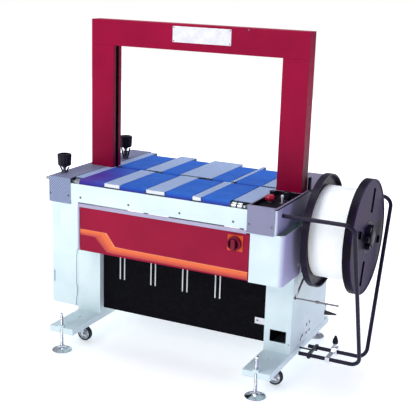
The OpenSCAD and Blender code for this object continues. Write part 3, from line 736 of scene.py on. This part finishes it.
# switch: rounded plate, ribbed handle
bm = bmesh.new()
prism_into(bm, rounded(335.3, 406.7, 636.3, 707.7, 6), "Y", -347, -345.3)
own(bevel(new("switch_plate", bm), 0.0005, 2), YELLOW, "machine", "yellow_plastic", ("main_switch_plate",))
bm = bmesh.new()
lathe_into(bm, (371, 0, 672), "Y", [(28.6, -347.4), (31, -349.4), (31, -364), (29.4, -367), (24, -368), (22.6,
    -346)], 64)
lathe_into(bm, (371, 0, 672), "Y", [(8, -360), (8, -330)], 32)
prism_into(bm, rounded(361.5, 380.5, 650.5, 693.5, 6), "Y", -375.8, -366)
for k in range(16):
    t = 2 * math.pi * k / 16
    c, n_ = math.cos(t), math.sin(t)
    prism_into(bm, [(371 + u * c - v * n_, 672 + u * n_ + v * c) for u, v in ((23.6, -1.2), (29.4, -1.2), (29.4,
        1.2), (23.6, 1.2))], "Y", -369, -365.6)
own(bevel(new("switch_handle", bm), 0.0006, 2), DKRED, "b_main_switch_knob", "red_plastic", ("main_switch_knob",))

# name plate, left blank, and its rivets
bm = bmesh.new()
prism_into(bm, rounded(-113, 178, 1467, 1539, 3), "Y", -37.8, -36.6)
own(bevel(new("blank_plate", bm), 0.0004, 2), LABEL, "machine", "strap_white")
own(lathe("plate_rivets", [((x, -36.5, z), "Y", [(3, 0), (3, -1.5), (2.2, -2.2), (1, -2.5)]) for x in (-107,
    172) for z in (1473, 1533)] + [((260.7, -36.5, 1541), "Y", [(3.6, 0), (3.6, -1), (2,
        -1.8)])], 20), SCREW, "machine", "zinc")

# ---------------------------------------------------------------- operator controls
own(lathe("mushroom_button", [((458, -190, 0), "Z", [(8.9, 816), (8.9, 840.6), (18, 841), (21.6, 842), (22.5,
    844.6), (22.3, 851), (20.6, 857.4), (17, 861.2), (10, 863), (3, 863)])], 64), REDP, "b_stop_button", "red_plastic", ("stop_button",))
own(lathe("button_collar", [((458, -190, 0), "Z", [(10, 831), (15.4, 831), (15.4, 833.6), (14, 834.6), (10,
    834.6), (10, 831)]), ((507, -116, 0), "Z", [(5, 831), (15, 831), (15, 832.6), (5, 832.6), (5, 831)]), ((514, -190, 0), "Z", [(7.6, 831), (11, 831), (11, 833.6), (10, 834.4), (7.6, 834.4), (7.6, 831)])], 48), SCREW, "machine", "zinc")
own(lathe("toggle_lever", [((514, -190, 0), "Z", [(3, 818), (3, 836), (4.4, 846), (5.6, 856), (6.6, 860), (6.9,
    863), (6, 866.6), (3.6, 868.6), (1.4, 869)]), ((509, -190, 822), "X", [(4.4, 0), (5, 0.6), (5, 9.4), (4.4, 10)])], 32), LEVER, "b_mode_toggle", "chrome", ("mode_toggle",))
bm = bmesh.new()
lathe_into(bm, (507, -116, 0), "Z", [(4, 818), (4, 834), (17, 834.2), (18.6, 835.4), (18.6, 862), (17.4, 865.4),
    (14, 867.6), (6, 868)], 96, lobes=24, depth=0.018)
own(new("dial_knob", bm, 30), MATTE, "b_tension_dial", "black_matte", ("tension_dial",))
own(boxes("dial_pointer", [(506.2, 507.8, -133.6, -121, 867.3, 867.9)], 0.0001, 1), SLIT, "b_tension_dial",
    "strap_white")
bm = bmesh.new()
for k in range(11):
    t = math.radians(-90 - 135 + 27 * k)
    c, n_ = math.cos(t), math.sin(t)
    prism_into(bm, [(507 + u * c - v * n_, -116 + u * n_ + v * c) for u, v in ((21.5, -0.6), (25.5, -0.6),
        (25.5, 0.6), (21.5, 0.6))], "Z", 831, 831.3)
own(new("dial_ticks", bm), SLIT, "machine", "strap_white")
own(lathe("lamp_lens", [((447, -128, 0), "Z", [(10.8, 858), (10.8, 861.4), (9, 863.4), (5, 864.6), (1, 865)])],
    40), SMOKE, "machine", "black_plastic")

# ---------------------------------------------------------------- reel
prof = [(101, 0.3), (203.6, 0.3)]
for k in range(14):
    r0 = 204.7 + rnd.uniform(-0.5, 0.25)
    prof += [(203.9, 0.4 + 12.36 * k), (r0, 1.2 + 12.36 * k), (r0, 12.0 + 12.36 * k)]
prof += [(203.6, 173.7), (101, 173.7), (101, 0.3)]
own(lathe("strap_winding", [((646, 0, 686), "X", prof)], 128), COIL, "reel", "strap_white", ("strap_coil",))
bm = bmesh.new()
lathe_into(bm, (848, 0, 686), "X", [(62, -0.6), (62, 1.4), (66, 1.8), (70, 1.4), (70, -0.6), (62, -0.6)], 72)
own(bevel(new("flange_ring", bm), 0.0005, 2), GLOSS, "reel", "black_plastic")
own(lathe("nut_cap", [((872, 0, 686), "X", [(30, 0), (30, 0.4), (27, 1.6), (12, 2.2), (4, 2.2)])], 48), GLOSS,
    "b_hand_nut", "black_matte")

# ---------------------------------------------------------------- strap between the dancer rod and the housing
bm = bmesh.new()
prev = None
for k in range(29):
    f = k / 28
    y, z = -188.5 + 37.6 * f, 418 + 142 * f
    ring = [bm.verts.new(P(x, y + d, z)) for x, d in ((600.6, -0.4), (606.4, -0.4), (606.4, 0.4), (600.6, 0.4))]
    if prev:
        for i in range(4):
            bm.faces.new((prev[i], prev[(i + 1) % 4], ring[(i + 1) % 4], ring[i]))
    else:
        bm.faces.new(ring[::-1])
    prev = ring
bm.faces.new(prev)
box_into(bm, P(572, -151.3, 559.3), P(606.4, -150.5, 560.9))
strip = new("strap_strip", bm)
strip.data.materials.append(RIBBON)
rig.blend(strip, "machine", "b_dancer_arm", start=P(603, -152, 556), end=P(603, -188, 419))
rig.slot(strip, "strap_white")
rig.replaces(strip, "strap_run")

# ---------------------------------------------------------------- light and floor
w = bpy.data.worlds.new("studio")
bpy.context.scene.world = w
w.use_nodes = True
wt = w.node_tree
sky, seen = wt.nodes["Background"], wt.nodes.new("ShaderNodeBackground")
seen.inputs[0].default_value, seen.inputs[1].default_value = (1, 1, 1, 1), 1.0
geo, sep, grad = wt.nodes.new("ShaderNodeTexCoord"), wt.nodes.new("ShaderNodeSeparateXYZ"), wt.nodes.new("ShaderNodeMapRange")
wt.links.new(geo.outputs["Generated"], sep.inputs[0])
wt.links.new(sep.outputs[0], grad.inputs["Value"])
for k, v in (("From Min", -0.9), ("From Max", 0.9), ("To Min", 0), ("To Max", 1)):
    grad.inputs[k].default_value = v
tone = wt.nodes.new("ShaderNodeMix")
tone.data_type = "RGBA"
wt.links.new(grad.outputs[0], tone.inputs["Factor"])
tone.inputs[6].default_value, tone.inputs[7].default_value = (0.44, 0.47, 0.50, 1), (0.07, 0.065, 0.16, 1)
wt.links.new(tone.outputs[2], sky.inputs[0])
sky.inputs[1].default_value = 1.0
path, both = wt.nodes.new("ShaderNodeLightPath"), wt.nodes.new("ShaderNodeMixShader")
wt.links.new(path.outputs["Is Camera Ray"], both.inputs[0])
wt.links.new(sky.outputs[0], both.inputs[1])
wt.links.new(seen.outputs[0], both.inputs[2])
wt.links.new(both.outputs[0], wt.nodes["World Output"].inputs[0])
bm = bmesh.new()
bmesh.ops.create_grid(bm, x_segments=8, y_segments=8, size=9)
floor = new("floor", bm)
fm = Mat("floor_paper")
out = fm.math("SQRT", fm.math("ADD", fm.math("POWER", fm.axis(0), 2), fm.math("POWER", fm.axis(1), 2)))
fm.bump(fm.noise(300, 2), 0.0002, 0.2)
floor.data.materials.append(fm.set(Base_Color=fm.mix(fm.noise(2, 3, lo=0.3, hi=0.7), (0.93, 0.95, 0.96), (0.96,
    0.97, 0.98)), Roughness=0.6, Emission_Color=(1, 1, 1), Emission_Strength=fm.mixf(fm.ramp(out, 0.9, 3.2), 0.5, 1.0)))
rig.stage(floor)


def light(name, at, to, size, power, col=(1, 1, 1)):
    d = bpy.data.lights.new(name, "AREA")
    d.shape, d.size, d.energy, d.color = "DISK", size, power, col
    o = bpy.data.objects.new(name, d)
    bpy.context.scene.collection.objects.link(o)
    o.location = at
    o.rotation_euler = (Vector(to) - Vector(at)).to_track_quat("-Z", "Y").to_euler()


light("key", (-1.2, -4.6, 3.3), (0, 0, 0.7), 2.4, 92, (1, 0.985, 0.96))
light("top", (0.0, 0.3, 4.4), (0, 0, 0.5), 3.0, 105, (0.95, 0.98, 1))
light("side", (4.2, -1.2, 2.0), (0.4, 0, 0.7), 1.6, 20, (0.5, 0.5, 1))
vs = bpy.context.scene.view_settings
vs.view_transform, vs.look, vs.exposure = "Standard", "None", 0.0

json.dump({"cad": [list(lo0), list(hi0)], "visual": [list(v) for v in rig.bounds()]}, open("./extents.json", "w"))
